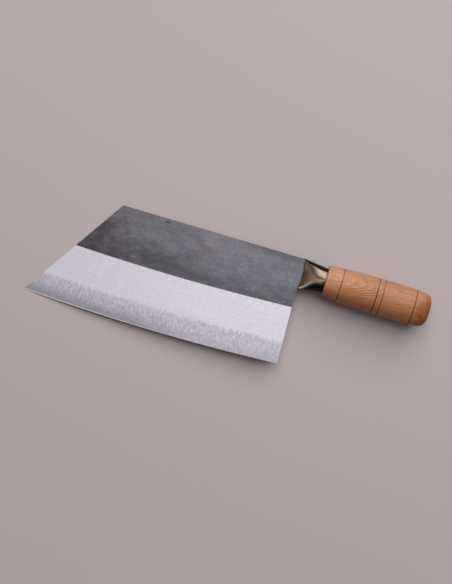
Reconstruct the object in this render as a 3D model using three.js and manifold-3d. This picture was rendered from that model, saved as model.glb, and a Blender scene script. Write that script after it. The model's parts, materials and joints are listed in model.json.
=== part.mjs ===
// A forged bunka-style kitchen cleaver, lying on its right side.
// The blade's tang runs through a hollow bolster and a turned wooden handle,
// and is peened over a washer that is sunk into the butt.
// Knife axes: +X from the tip to the butt along the handle's axis,
// +Y from the edge to the spine, +Z out of the left side. Millimetres.
// The exported group lays the knife on the plane Z = 0,
// with the middle of its footprint at the origin.
import * as THREE from "three";
import { mergeVertices } from "three/addons/utils/BufferGeometryUtils.js";
import Module from "manifold-3d";

const wasm = await Module();
wasm.setup();

const CLEARANCE = 0.3; // between pieces that seat on each other
const OVERSHOOT = 1; // how far a shape reaches past what it cuts, or into what it joins

// Blade plan, measured along and across the spine from the spine's rear corner
const EDGE_LENGTH = 220; // chord of the cutting edge, from the tip to the heel
const BLADE_HEIGHT = 90; // from the spine to both ends of the edge
const EDGE_BELLY = 3.3; // how far the edge bows out past its chord
const CLIP_RUN = 60; // how far the clipped front leans back from the tip to the spine
const HEEL_LEAN = 3.2; // how far the heel corner lies behind the spine's rear corner
const BLADE_DROOP = THREE.MathUtils.degToRad(0.3); // turn of the blade below the handle's axis

// Blade section
const SPINE_THICKNESS = 2.6; // at the spine's rear corner
const DISTAL_TAPER = 0.0045; // thickness lost per length towards the tip
const HEIGHT_TAPER = 0.016; // thickness lost per length towards the edge, on the forged flats
const GRIND_DROP = 41.5; // from the spine to the ends of the line where the bevel starts
const GRIND_SAG = 3; // how far that line dips at the middle
const BAND_HEIGHT = 18; // the last, steeper grind along the edge
const BAND_THICKNESS = 0.9; // where that band starts, at the heel
const BAND_TAPER = 0.0018; // thickness lost there per length towards the tip
const EDGE_THICKNESS = 0.3; // at the cutting edge

// Bolster, a steel sleeve that is squeezed flat at the blade and round at the handle
const BOLSTER_LENGTH = 22; // that shows between the blade's rear corner and the handle
const BOLSTER_WALL = 0.8;
const BOLSTER_RADIUS = 10.2; // at its round end
const BOLSTER_SEAT = 3; // how deep the round end sits in the handle's socket
const MOUTH_HALF_HEIGHT = 12.9; // at its flat end
const MOUTH_DROP = 0.2; // how far the flat end's middle lies below the handle's axis
const MOUTH_ABOVE_SPINE = 0.3; // how far the flat end stands above the spine
const LIP_RISE = 1.05; // how far the mouth's lips stand out past its middle
const DENT_DEPTH = 1; // how much deeper each face is dented between the mouth and the neck
const DENT_FLAT = 0.7; // share of the dent that is flat, at the mouth
const CREST_AT_MOUTH = 0.95; // where a lip is highest, as a share from the middle to the tip
const CREST_AT_NECK = 0.14;
const CREST_LEAVES = 0.13; // where the crests start to draw together, as a share up to the neck
const CREST_ARRIVES = 0.88; // where they have drawn together
const NECK_START = 0.8; // share of the length at which the sleeve has its full thickness
const FLANK_SQUARENESS = 3; // exponent of the flanks' outline, where 2 is an ellipse
const SHOULDER_BULGE = 1.75; // how far the blade's rear end bulges into the mouth
const FILL_SETBACK = 7; // from the blade's rear corner to the front of the sleeve's filling

// Neck, tang and the tang's hammered end, all forged in one with the blade
const NECK_STEP = 0.5; // how much thinner the neck is than the spine
const NECK_ROOM = 0.4; // between the neck's sides and the inside of the mouth
const NECK_SHOULDER = 2.6; // between the neck's ends and the inside of the mouth
const NECK_LENGTH = 6; // of its straight part
const TANG_THICKNESS = 3.5;
const TANG_HEIGHT = 6; // where the tang enters the handle
const TANG_END_HEIGHT = 4.5; // where it goes through the washer
const PEEN_LAP = 1.1; // how far the hammered end overlaps the washer
const PEEN_HEIGHT = 1.6;

// Handle, a stack of turned lengths with a groove between each and the next
const FRONT_LENGTH = 13;
const FORWARD_LENGTH = 30.5;
const WAIST_LENGTH = 5;
const REAR_LENGTH = 27.5;
const BUTT_LENGTH = 14;
const SOCKET_WALL = 2.6; // of wood around the sleeve, at the handle's front
const SHOULDER_SWELL = 1.7; // how much the radius grows from the front to the shoulder
const SHOULDER_FROM_FRONT = 21;
const BELLY_SWELL = 0.5; // how much it grows from the shoulder to the belly
const BELLY_FROM_BUTT = 28;
const BUTT_FALL = 1.3; // how much it shrinks from the belly to the butt
const FRONT_ROUND = 0.8; // radius of the front rim
const BUTT_ROUND = 7; // radius of the butt's rim
const GROOVE_WIDTH = 0.9;
const GROOVE_DEPTH = 0.6;
const BEDDING_WALL = 0.8; // least thickness of the resin around the tang

// Butt washer
const WASHER_LAP = 1.5; // how far it overlaps the rim of the bore
const WASHER_THICKNESS = 1.2;
const PEEN_SUNK = 0.6; // how far the hammered end lies below the butt

// Fineness of the faceted shapes
const AROUND = 48; // sides of round pieces
const BLADE_STEPS = 32;
const SLEEVE_STEPS = 16;
const SLEEVE_AROUND = 72; // points of a cross-section
const BARREL_STEPS = 10;
const RIM_STEPS = 6;
const MERGE_DISTANCE = 1e-4;

const tangReach = Math.hypot(TANG_THICKNESS, TANG_HEIGHT) / 2;
const washerHole = Math.hypot(TANG_THICKNESS, TANG_END_HEIGHT) / 2 + CLEARANCE;
const peenRadius = washerHole + PEEN_LAP;
const beddingRadius = tangReach + CLEARANCE + BEDDING_WALL;
const boreRadius = beddingRadius + CLEARANCE;
const washerRadius = boreRadius + WASHER_LAP;
const recessRadius = washerRadius + CLEARANCE;
const socketRadius = BOLSTER_RADIUS + CLEARANCE;
const frontRadius = socketRadius + SOCKET_WALL;
const shoulderRadius = frontRadius + SHOULDER_SWELL;
const bellyRadius = shoulderRadius + BELLY_SWELL;
const buttRadius = bellyRadius - BUTT_FALL;
const neckThickness = SPINE_THICKNESS - NECK_STEP;
const neckHeight = 2 * (MOUTH_HALF_HEIGHT - BOLSTER_WALL - NECK_SHOULDER);
const mouthHalfDepth = neckThickness / 2 + NECK_ROOM + BOLSTER_WALL;
const lipHalfDepth = mouthHalfDepth + LIP_RISE;
const spineAboveAxis = MOUTH_HALF_HEIGHT - MOUTH_DROP - MOUTH_ABOVE_SPINE;

// Places along the handle's axis, from the blade's rear corner
const handleFront = BOLSTER_LENGTH;
const grooves = [FRONT_LENGTH, FORWARD_LENGTH, WAIST_LENGTH, REAR_LENGTH].reduce(
  (places, length) => [...places, (places.at(-1) ?? handleFront) + length],
  [],
);
const handleEnd = grooves.at(-1) + BUTT_LENGTH;
const socketBottom = handleFront + BOLSTER_SEAT + CLEARANCE;
const peenTop = handleEnd - PEEN_SUNK;
const peenSeat = peenTop - PEEN_HEIGHT;
const washerBack = peenSeat - CLEARANCE;
const washerFront = washerBack - WASHER_THICKNESS;
const washerSeat = washerFront - CLEARANCE;

// A closed mesh geometry as a solid that can be joined and cut.
function solidOf(geometry) {
  const bare = geometry.clone();
  bare.deleteAttribute("normal");
  bare.deleteAttribute("uv");
  const merged = mergeVertices(bare, MERGE_DISTANCE);
  return new wasm.Manifold(
    new wasm.Mesh({
      numProp: 3,
      vertProperties: merged.attributes.position.array,
      triVerts: new Uint32Array(merged.index.array),
    }),
  );
}

// A solid back as a mesh geometry.
function geometryOf(solid) {
  const { vertProperties, triVerts } = solid.getMesh();
  return new THREE.BufferGeometry()
    .setAttribute("position", new THREE.BufferAttribute(vertProperties, 3))
    .setIndex(new THREE.BufferAttribute(triVerts, 1));
}

function middleOf(ring) {
  const sum = ring.reduce((total, point) => total.add(point), new THREE.Vector3());
  return sum.divideScalar(ring.length);
}

// A closed surface through rings of points, which follow one another towards +X.
// Each ring runs from the top down the left side and back up the right side.
// The ends fan out from their middles, or, where the rings return to the first one,
// the last is joined to it.
function loft(rings, returns = false) {
  const count = rings[0].length;
  const points = rings.flat();
  const indices = [];
  const spans = returns ? rings.length : rings.length - 1;
  for (let i = 0; i < spans; i++) {
    const here = i * count;
    const next = ((i + 1) % rings.length) * count;
    for (let j = 0; j < count; j++) {
      const k = (j + 1) % count;
      indices.push(here + j, here + k, next + k, here + j, next + k, next + j);
    }
  }
  if (!returns) {
    const last = (rings.length - 1) * count;
    const front = points.push(middleOf(rings[0])) - 1;
    const back = points.push(middleOf(rings.at(-1))) - 1;
    for (let j = 0; j < count; j++) {
      const k = (j + 1) % count;
      indices.push(front, k, j, back, last + j, last + k);
    }
  }
  return new THREE.BufferGeometry().setFromPoints(points).setIndex(indices);
}

// A body of revolution about the X axis from [x, radius] points.
function turned(profile) {
  const points = profile.map(([x, radius]) => new THREE.Vector2(radius, x));
  return new THREE.LatheGeometry(points, AROUND).rotateZ(-Math.PI / 2);
}

// Points of an arc as [x, radius] pairs. Angles are measured from +X.
function arc(centreX, centreRadius, radius, from, to) {
  return Array.from({ length: RIM_STEPS + 1 }, (_, i) => {
    const angle = THREE.MathUtils.lerp(from, to, i / RIM_STEPS);
    return [centreX + radius * Math.cos(angle), centreRadius + radius * Math.sin(angle)];
  });
}

// Lines of the blade's plan: x runs along the spine, negative towards the tip,
// and y is negative towards the edge
const tipX = HEEL_LEAN - EDGE_LENGTH;
const clipTopX = tipX + CLIP_RUN;
const edgeMiddleX = (HEEL_LEAN + tipX) / 2;
const bow = (x, depth) => depth * (1 - ((x - edgeMiddleX) / (EDGE_LENGTH / 2)) ** 2);
const edgeY = (x) => -BLADE_HEIGHT - bow(x, EDGE_BELLY);
const bandY = (x) => edgeY(x) + BAND_HEIGHT;
const grindY = (x) => -GRIND_DROP - bow(x, GRIND_SAG);
const heelX = (y) => (-HEEL_LEAN * y) / BLADE_HEIGHT;
const flatHalf = (x, y) => (SPINE_THICKNESS + DISTAL_TAPER * x + HEIGHT_TAPER * y) / 2;
const bandHalf = (x) => (BAND_THICKNESS + BAND_TAPER * (x - HEEL_LEAN)) / 2;
const mouthBottomY = -spineAboveAxis - MOUTH_DROP - MOUTH_HALF_HEIGHT;
const mouthMiddleY = mouthBottomY / 2;

// From the blade's plan to the knife's axes.
const bladePlace = new THREE.Matrix4()
  .makeTranslation(0, spineAboveAxis, 0)
  .multiply(new THREE.Matrix4().makeRotationZ(BLADE_DROOP));

function bladeOutline() {
  const shape = new THREE.Shape();
  shape.moveTo(clipTopX, 0);
  shape.lineTo(tipX, -BLADE_HEIGHT);
  shape.quadraticCurveTo(edgeMiddleX, -BLADE_HEIGHT - 2 * EDGE_BELLY, HEEL_LEAN, -BLADE_HEIGHT);
  shape.lineTo(heelX(mouthBottomY), mouthBottomY);
  shape.quadraticCurveTo(heelX(mouthMiddleY) + 2 * SHOULDER_BULGE, mouthMiddleY, 0, 0);
  return shape;
}

// The blade's tapering section along its length, longer and taller than the outline that trims it.
function bladeSection() {
  const from = tipX - OVERSHOOT;
  const to = HEEL_LEAN + SHOULDER_BULGE + OVERSHOOT;
  const rings = Array.from({ length: BLADE_STEPS + 1 }, (_, i) => {
    const x = THREE.MathUtils.lerp(from, to, i / BLADE_STEPS);
    const bandSlope = (bandHalf(x) - EDGE_THICKNESS / 2) / BAND_HEIGHT;
    const half = [
      [OVERSHOOT, flatHalf(x, OVERSHOOT)],
      [grindY(x), flatHalf(x, grindY(x))],
      [bandY(x), bandHalf(x)],
      [edgeY(x) - OVERSHOOT, EDGE_THICKNESS / 2 - bandSlope * OVERSHOOT],
    ];
    const left = half.map(([y, z]) => new THREE.Vector3(x, y, z));
    const right = half.map(([y, z]) => new THREE.Vector3(x, y, -z)).reverse();
    return [...left, ...right];
  });
  return loft(rings);
}

function plateSolid() {
  const deep = SPINE_THICKNESS + OVERSHOOT;
  const outline = new THREE.ExtrudeGeometry(bladeOutline(), {
    depth: 2 * deep,
    bevelEnabled: false,
    curveSegments: BLADE_STEPS,
  }).translate(0, 0, -deep);
  const plate = solidOf(outline).intersect(solidOf(bladeSection()));
  return solidOf(geometryOf(plate).applyMatrix4(bladePlace));
}

// Neck and tang as one tapering bar, grown by a margin where it cuts a seat for itself.
function tangBar(margin = 0) {
  const stations = [
    [-OVERSHOOT, neckHeight, neckThickness],
    [NECK_LENGTH, neckHeight, neckThickness],
    [handleFront, TANG_HEIGHT, TANG_THICKNESS],
    [peenSeat + PEEN_HEIGHT / 2, TANG_END_HEIGHT, TANG_THICKNESS],
  ];
  const rings = stations.map(([x, height, thickness]) => {
    const y = height / 2 + margin;
    const z = thickness / 2 + margin;
    return [
      new THREE.Vector3(x, y, z),
      new THREE.Vector3(x, -y, z),
      new THREE.Vector3(x, -y, -z),
      new THREE.Vector3(x, y, -z),
    ];
  });
  return loft(rings);
}

// The tang's end, hammered to a low dome over the washer.
function peenHead() {
  const dome = Array.from({ length: RIM_STEPS }, (_, i) => {
    const angle = ((i / RIM_STEPS) * Math.PI) / 2;
    return [peenSeat + PEEN_HEIGHT * Math.sin(angle), peenRadius * Math.cos(angle)];
  });
  return turned([[peenSeat, 0], ...dome, [peenTop, 0]]);
}

function bladeGeometry() {
  return geometryOf(plateSolid().add(solidOf(tangBar())).add(solidOf(peenHead())));
}

// How far the blade's rear end lies behind the spine's rear corner, at a height over the axis.
function mouthRim(y) {
  const planY = y - spineAboveAxis;
  const across = (planY - mouthMiddleY) / mouthMiddleY;
  const bulge = SHOULDER_BULGE * Math.max(0, 1 - across ** 2);
  return heelX(planY) - planY * Math.sin(BLADE_DROOP) + bulge;
}

// Half the sleeve's thickness at a share of its length and a distance off its middle line.
// Between two crests, which run from the mouth's tips to the neck, the face is dented.
function sleeveDepth(share, off, halfHeight, inset) {
  const { lerp, smoothstep } = THREE.MathUtils;
  const drawn = Math.min(share / NECK_START, 1);
  const lip = lerp(lipHalfDepth, BOLSTER_RADIUS, Math.sin((drawn * Math.PI) / 2)) - inset;
  const together = smoothstep(drawn, CREST_LEAVES, CREST_ARRIVES);
  const dented = 1 - smoothstep(share, NECK_START, 1);
  const crest = halfHeight * dented * lerp(CREST_AT_MOUTH, CREST_AT_NECK, together);
  if (off < crest) {
    const dent = LIP_RISE * (1 - share) + DENT_DEPTH * Math.sin(share * Math.PI);
    return lip - dent * (1 - smoothstep(off / crest, DENT_FLAT * (1 - drawn), 1));
  }
  const power = lerp(2, FLANK_SQUARENESS, Math.sin(drawn * Math.PI));
  return lip * Math.max(0, 1 - ((off - crest) / (halfHeight - crest)) ** power) ** (1 / power);
}

// One cross-section of the sleeve at a share of its length, taken in by an inset.
// It is flat with thick lips at the mouth, and round at the handle.
function sleeveRing(share, inset) {
  const middle = -MOUTH_DROP * (1 - share);
  const halfHeight = THREE.MathUtils.lerp(MOUTH_HALF_HEIGHT, BOLSTER_RADIUS, share) - inset;
  return Array.from({ length: SLEEVE_AROUND }, (_, i) => {
    const off = halfHeight * Math.cos((i / SLEEVE_AROUND) * 2 * Math.PI);
    const side = Math.sign(SLEEVE_AROUND / 2 - i);
    const y = middle + off;
    const z = i === 0 ? 0 : side * sleeveDepth(share, Math.abs(off), halfHeight, inset);
    const x = THREE.MathUtils.lerp(mouthRim(y) + CLEARANCE, handleFront, share);
    return new THREE.Vector3(x, y, z);
  });
}

// The sleeve's rings from a share of its length to the round end that sits in the handle's socket.
function sleeveRings(inset, fromShare = 0) {
  const steps = Array.from({ length: SLEEVE_STEPS + 1 }, (_, i) => i / SLEEVE_STEPS);
  const shares = [fromShare, ...steps.filter((share) => share > fromShare)];
  const rings = shares.map((share) => sleeveRing(share, inset));
  const seat = new THREE.Vector3(BOLSTER_SEAT, 0, 0);
  const end = rings.at(-1).map((point) => point.clone().add(seat));
  return [...rings, end];
}

function bolsterGeometry() {
  const outside = sleeveRings(0);
  const inside = sleeveRings(BOLSTER_WALL).reverse();
  return loft([...outside, ...inside], true);
}

// Pitch that fills the sleeve around the neck and the tang.
function bolsterFillGeometry() {
  const body = loft(sleeveRings(BOLSTER_WALL + CLEARANCE, FILL_SETBACK / BOLSTER_LENGTH));
  return geometryOf(solidOf(body).subtract(solidOf(tangBar(CLEARANCE))));
}

// The handle's barrel, as a curve of radius along the axis
const barrel = new THREE.SplineCurve([
  new THREE.Vector2(handleFront, frontRadius),
  new THREE.Vector2(handleFront + SHOULDER_FROM_FRONT, shoulderRadius),
  new THREE.Vector2(handleEnd - BELLY_FROM_BUTT, bellyRadius),
  new THREE.Vector2(handleEnd, buttRadius),
]);

// The barrel's radius at a place along the axis, found by halving.
function barrelRadius(x) {
  const halvings = 30;
  let low = 0;
  let high = 1;
  for (let i = 0; i < halvings; i++) {
    const middle = (low + high) / 2;
    if (barrel.getPoint(middle).x < x) {
      low = middle;
    } else {
      high = middle;
    }
  }
  return barrel.getPoint(low).y;
}

// Stations along the barrel between its rounded rims, with three for each groove.
function barrelProfile() {
  const from = handleFront + FRONT_ROUND;
  const to = handleEnd - BUTT_ROUND;
  const plain = Array.from({ length: BARREL_STEPS + 1 }, (_, i) =>
    THREE.MathUtils.lerp(from, to, i / BARREL_STEPS),
  )
    .filter((x) => grooves.every((groove) => Math.abs(x - groove) > GROOVE_WIDTH))
    .map((x) => [x, barrelRadius(x)]);
  const cut = grooves.flatMap((groove) => [
    [groove - GROOVE_WIDTH / 2, barrelRadius(groove)],
    [groove, barrelRadius(groove) - GROOVE_DEPTH],
    [groove + GROOVE_WIDTH / 2, barrelRadius(groove)],
  ]);
  return [...plain, ...cut].sort((a, b) => a[0] - b[0]);
}

function handleGeometry() {
  const frontRim = handleFront + FRONT_ROUND;
  const frontCentre = barrelRadius(frontRim) - FRONT_ROUND;
  const buttRim = handleEnd - BUTT_ROUND;
  const buttCentre = barrelRadius(buttRim) - BUTT_ROUND;
  const buttStop = Math.asin(Math.max(0, (recessRadius - buttCentre) / BUTT_ROUND));
  const profile = [
    [socketBottom, boreRadius],
    [socketBottom, socketRadius],
    [handleFront, socketRadius],
    ...arc(frontRim, frontCentre, FRONT_ROUND, Math.PI, Math.PI / 2).slice(0, -1),
    ...barrelProfile(),
    ...arc(buttRim, buttCentre, BUTT_ROUND, Math.PI / 2, buttStop).slice(1),
    [washerSeat, recessRadius],
    [washerSeat, boreRadius],
    [socketBottom, boreRadius],
  ];
  return turned(profile);
}

// Resin that beds the tang in the handle's bore.
function tangBeddingGeometry() {
  const from = socketBottom + CLEARANCE;
  const body = turned([
    [from, 0],
    [from, beddingRadius],
    [washerSeat, beddingRadius],
    [washerSeat, 0],
  ]);
  return geometryOf(solidOf(body).subtract(solidOf(tangBar(CLEARANCE))));
}

function washerGeometry() {
  return turned([
    [washerFront, washerHole],
    [washerFront, washerRadius],
    [washerBack, washerRadius],
    [washerBack, washerHole],
    [washerFront, washerHole],
  ]);
}

// The direction that points up, in the knife's axes, when it lies on its right side.
// It rests on both corners of the clipped front and on the underside of the handle.
function restingUp() {
  const corner = (x, y, half) => new THREE.Vector3(x, y, -half).applyMatrix4(bladePlace);
  const tip = corner(tipX, -BLADE_HEIGHT, EDGE_THICKNESS / 2);
  const clipTop = corner(clipTopX, 0, flatHalf(clipTopX, 0));
  const across = clipTop.clone().sub(tip);
  const profile = barrelProfile();
  const passes = 12;
  const up = new THREE.Vector3(0, 0, 1);
  for (let i = 0; i < passes; i++) {
    const down = new THREE.Vector3(0, -up.y, -up.z).normalize();
    const lowest = profile
      .map(([x, radius]) => new THREE.Vector3(x, 0, 0).addScaledVector(down, radius))
      .reduce((a, b) => (a.dot(up) < b.dot(up) ? a : b));
    up.copy(lowest).sub(tip).cross(across).normalize();
  }
  return up;
}

const FINISHES = {
  bladeSteel: { color: 0x9a999f, roughness: 0.42, metalness: 0.9 },
  bronze: { color: 0x7a6650, roughness: 0.38, metalness: 0.85 },
  pitch: { color: 0x2a211b, roughness: 0.8, metalness: 0 },
  wood: { color: 0xb87f5d, roughness: 0.6, metalness: 0 },
  resin: { color: 0x8a6a3c, roughness: 0.5, metalness: 0 },
  washerSteel: { color: 0x8b8b8b, roughness: 0.5, metalness: 0.9 },
};

const PIECES = [
  ["blade", bladeGeometry, "bladeSteel"],
  ["bolster", bolsterGeometry, "bronze"],
  ["bolster_fill", bolsterFillGeometry, "pitch"],
  ["handle", handleGeometry, "wood"],
  ["tang_bedding", tangBeddingGeometry, "resin"],
  ["butt_washer", washerGeometry, "washerSteel"],
];

const knife = new THREE.Group();
for (const [name, make, finish] of PIECES) {
  const mesh = new THREE.Mesh(make(), new THREE.MeshStandardMaterial(FINISHES[finish]));
  mesh.name = name;
  knife.add(mesh);
}

// Lay the knife down, and put the middle of its footprint at the origin
knife.quaternion.setFromUnitVectors(restingUp(), new THREE.Vector3(0, 0, 1));
knife.updateMatrixWorld(true);
const box = new THREE.Box3().setFromObject(knife, true);
const middle = box.getCenter(new THREE.Vector3());
knife.position.set(-middle.x, -middle.y, -box.min.z);

const part = new THREE.Group();
part.add(knife);

export default part;
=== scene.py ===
"""Bunka knife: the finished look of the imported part, laid out as a Blender add-on and run as a script."""

import json
import math

import bmesh
import bpy
import numpy as np
from bpy.props import FloatProperty, FloatVectorProperty, PointerProperty
from mathutils import Matrix, Vector


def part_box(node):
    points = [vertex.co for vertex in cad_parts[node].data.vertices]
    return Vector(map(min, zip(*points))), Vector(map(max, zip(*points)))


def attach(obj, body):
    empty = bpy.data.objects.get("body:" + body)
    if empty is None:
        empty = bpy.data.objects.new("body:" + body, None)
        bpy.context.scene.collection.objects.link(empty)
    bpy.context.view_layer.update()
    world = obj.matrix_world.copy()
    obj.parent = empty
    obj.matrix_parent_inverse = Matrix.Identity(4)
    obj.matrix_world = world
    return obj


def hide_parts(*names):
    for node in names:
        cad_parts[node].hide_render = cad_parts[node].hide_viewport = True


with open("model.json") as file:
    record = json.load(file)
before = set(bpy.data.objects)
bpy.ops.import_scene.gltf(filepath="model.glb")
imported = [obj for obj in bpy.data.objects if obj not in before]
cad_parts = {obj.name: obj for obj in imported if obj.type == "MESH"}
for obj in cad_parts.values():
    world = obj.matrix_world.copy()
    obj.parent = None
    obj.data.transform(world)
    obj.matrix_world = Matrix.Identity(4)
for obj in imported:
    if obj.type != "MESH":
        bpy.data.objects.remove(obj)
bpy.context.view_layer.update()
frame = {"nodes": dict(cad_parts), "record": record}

bl_info = {
    "name": "Bunka knife",
    "version": (1, 0, 0),
    "blender": (4, 5, 0),
    "location": "3D View > Sidebar > Knife",
    "description": "Models a bunka knife piece by piece around its packed CAD frame",
    "category": "Object",
}

MM = 0.001  # Blender works in metres, and the finishes' patterns in millimetres
TOUCH = 1e-6  # metres within which a point counts as lying at a place
MERGE = 1e-7  # metres within which vertices become one
BODY = "root"  # nothing on the knife moves

# The photograph in pixels: its height, its middle, and where the handle's axis meets the blade's end
PHOTO_HEIGHT = 584
CENTRE_PIXEL = (226.0, 291.5)
AXIS_PIXEL = (299.8, 272.5)
SENSOR = 36  # millimetres of the camera's sensor, along the picture's longer side

# Stains in the forge scale: colour, strength, and place, half length and half height in millimetres
STAINS = (
    ("scale_rust", 0.8, (-79.0, -9.7, 5.0, 3.0)),
    ("scale_rust", 0.55, (-38.5, -13.0, 2.5, 9.0)),
    ("scale_blue", 0.7, (-24.0, -8.0, 6.0, 4.5)),
    ("scale_violet", 0.5, (-29.0, -24.0, 7.0, 6.0)),
)
SPINE_CHIP = (-116.6, -3.2, 2.2, 1.0)  # a dark chip by the spine, given in the same way
GROOVE_BURNS = (0.55, 1.0, 0.5, 0.9)  # how dark each groove of the handle is burnt, from the front


def linear(red, green, blue):
    """A colour as read off a screen, from 0 to 255, in the linear values that Blender mixes."""
    shares = (red / 255, green / 255, blue / 255)
    return tuple(s / 12.92 if s <= 0.04045 else ((s + 0.055) / 1.055) ** 2.4 for s in shares)


def length(name, millimetres, description):
    """A length that a user can change."""
    return FloatProperty(
        name=name, description=description, default=millimetres * MM, min=0, unit="LENGTH", precision=5
    )


def share(name, default, description):
    """A plain ratio that a user can change."""
    return FloatProperty(name=name, description=description, default=default, subtype="FACTOR")


def angle(name, degrees, description):
    """An angle that a user can change."""
    return FloatProperty(
        name=name, description=description, default=math.radians(degrees), subtype="ANGLE"
    )


def power(name, watts, description):
    """A lamp's power that a user can change."""
    return FloatProperty(name=name, description=description, default=watts, min=0, unit="POWER")


def spot(name, metres, description):
    """A place that a user can change."""
    return FloatVectorProperty(
        name=name, description=description, default=metres, size=3, subtype="XYZ", unit="LENGTH"
    )


def colour(name, value, description):
    """A colour that a user can change."""
    return FloatVectorProperty(
        name=name, description=description, default=value, size=3, min=0, max=1, subtype="COLOR"
    )


def lerp(a, b, t):
    """The value that lies at share t of the way from a to b."""
    return a + (b - a) * t


def smooth(t):
    """A soft step from 0 to 1."""
    t = min(max(t, 0), 1)
    return t * t * (3 - 2 * t)


class BladeSettings(bpy.types.PropertyGroup):
    """Sizes and colours of the blade, measured along and across the spine from its rear corner"""

    edge_length: length("Edge length", 220, "Chord of the cutting edge, from the tip to the heel")
    height: length("Height", 90, "From the spine to both ends of the edge")
    belly: length("Belly", 3.3, "How far the edge bows out past its chord")
    clip_run: length("Clip run", 60, "How far the clipped front leans back to the spine")
    heel_lean: length("Heel lean", 3.2, "How far the heel corner lies behind the spine's corner")
    shoulder: length("Shoulder", 1.75, "How far the blade's rear end bulges towards the bolster")
    droop: angle("Droop", 0.3, "Turn of the blade below the handle's axis")
    spine_above_axis: length("Spine above axis", 12.4, "Height of the spine's rear corner over the axis")
    spine_thickness: length("Spine thickness", 2.6, "Thickness at the spine's rear corner")
    spine_round: length("Spine rounding", 0.5, "How far the spine's edges are eased")
    distal_taper: share("Distal taper", 0.0045, "Thickness lost per length towards the tip")
    height_taper: share("Height taper", 0.016, "Thickness lost per length towards the edge")
    grind_drop: length("Grind drop", 41.5, "From the spine to the ends of the line where the bevel starts")
    grind_sag: length("Grind sag", 3, "How far that line dips at the middle")
    band_height: length("Band height", 18, "Height of the cross-ground band along the edge")
    band_thickness: length("Band thickness", 0.9, "Thickness where that band starts, at the heel")
    band_taper: share("Band taper", 0.0018, "Thickness lost there per length towards the tip")
    keen_height: length("Keen height", 0.9, "Height of the last narrow bevel at the edge")
    keen_thickness: length("Keen thickness", 0.3, "Thickness where that bevel starts")
    scale_tip: colour("Scale at the tip", linear(76, 72, 77), "Forge scale towards the tip")
    scale_heel: colour("Scale at the heel", linear(120, 117, 126), "Forge scale towards the heel")
    scale_violet: colour("Violet scale", linear(120, 114, 123), "Violet clouds in the forge scale")
    scale_rust: colour("Rusty scale", linear(140, 127, 127), "Warm stains in the forge scale")
    scale_blue: colour("Blue scale", linear(113, 118, 129), "Blue temper in the forge scale")
    scale_chip: colour("Chipped scale", linear(190, 188, 196), "Bare steel where the scale is chipped")
    bevel_steel: colour("Bevel steel", (0.658, 0.635, 0.699), "The bright bevel, brushed lengthwise")
    band_steel: colour("Band steel", (0.502, 0.477, 0.541), "The greyer band, scratched across")
    # A painted glint: the narrow bevel at the very edge, painted near white
    keen_glint_steel: colour("Keen steel", (0.86, 0.85, 0.88), "The narrow bevel at the very edge")

    def tip_x(self):
        return self.heel_lean - self.edge_length

    def middle_x(self):
        return (self.heel_lean + self.tip_x()) / 2

    def bow(self, x):
        return 1 - ((x - self.middle_x()) / (self.edge_length / 2)) ** 2

    def edge_y(self, x):
        return -self.height - self.belly * self.bow(x)

    def grind_y(self, x):
        return -self.grind_drop - self.grind_sag * self.bow(x)

    def flat_half(self, x, y):
        return (self.spine_thickness + self.distal_taper * x + self.height_taper * y) / 2

    def band_half(self, x):
        return (self.band_thickness + self.band_taper * (x - self.heel_lean)) / 2

    def clip_x(self, y):
        return self.tip_x() + self.clip_run * (1 + y / self.height)

    def rear_x(self, y, mouth_bottom):
        across = (y - mouth_bottom / 2) / (mouth_bottom / 2)
        return -self.heel_lean * y / self.height + self.shoulder * max(0, 1 - across**2)


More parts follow.
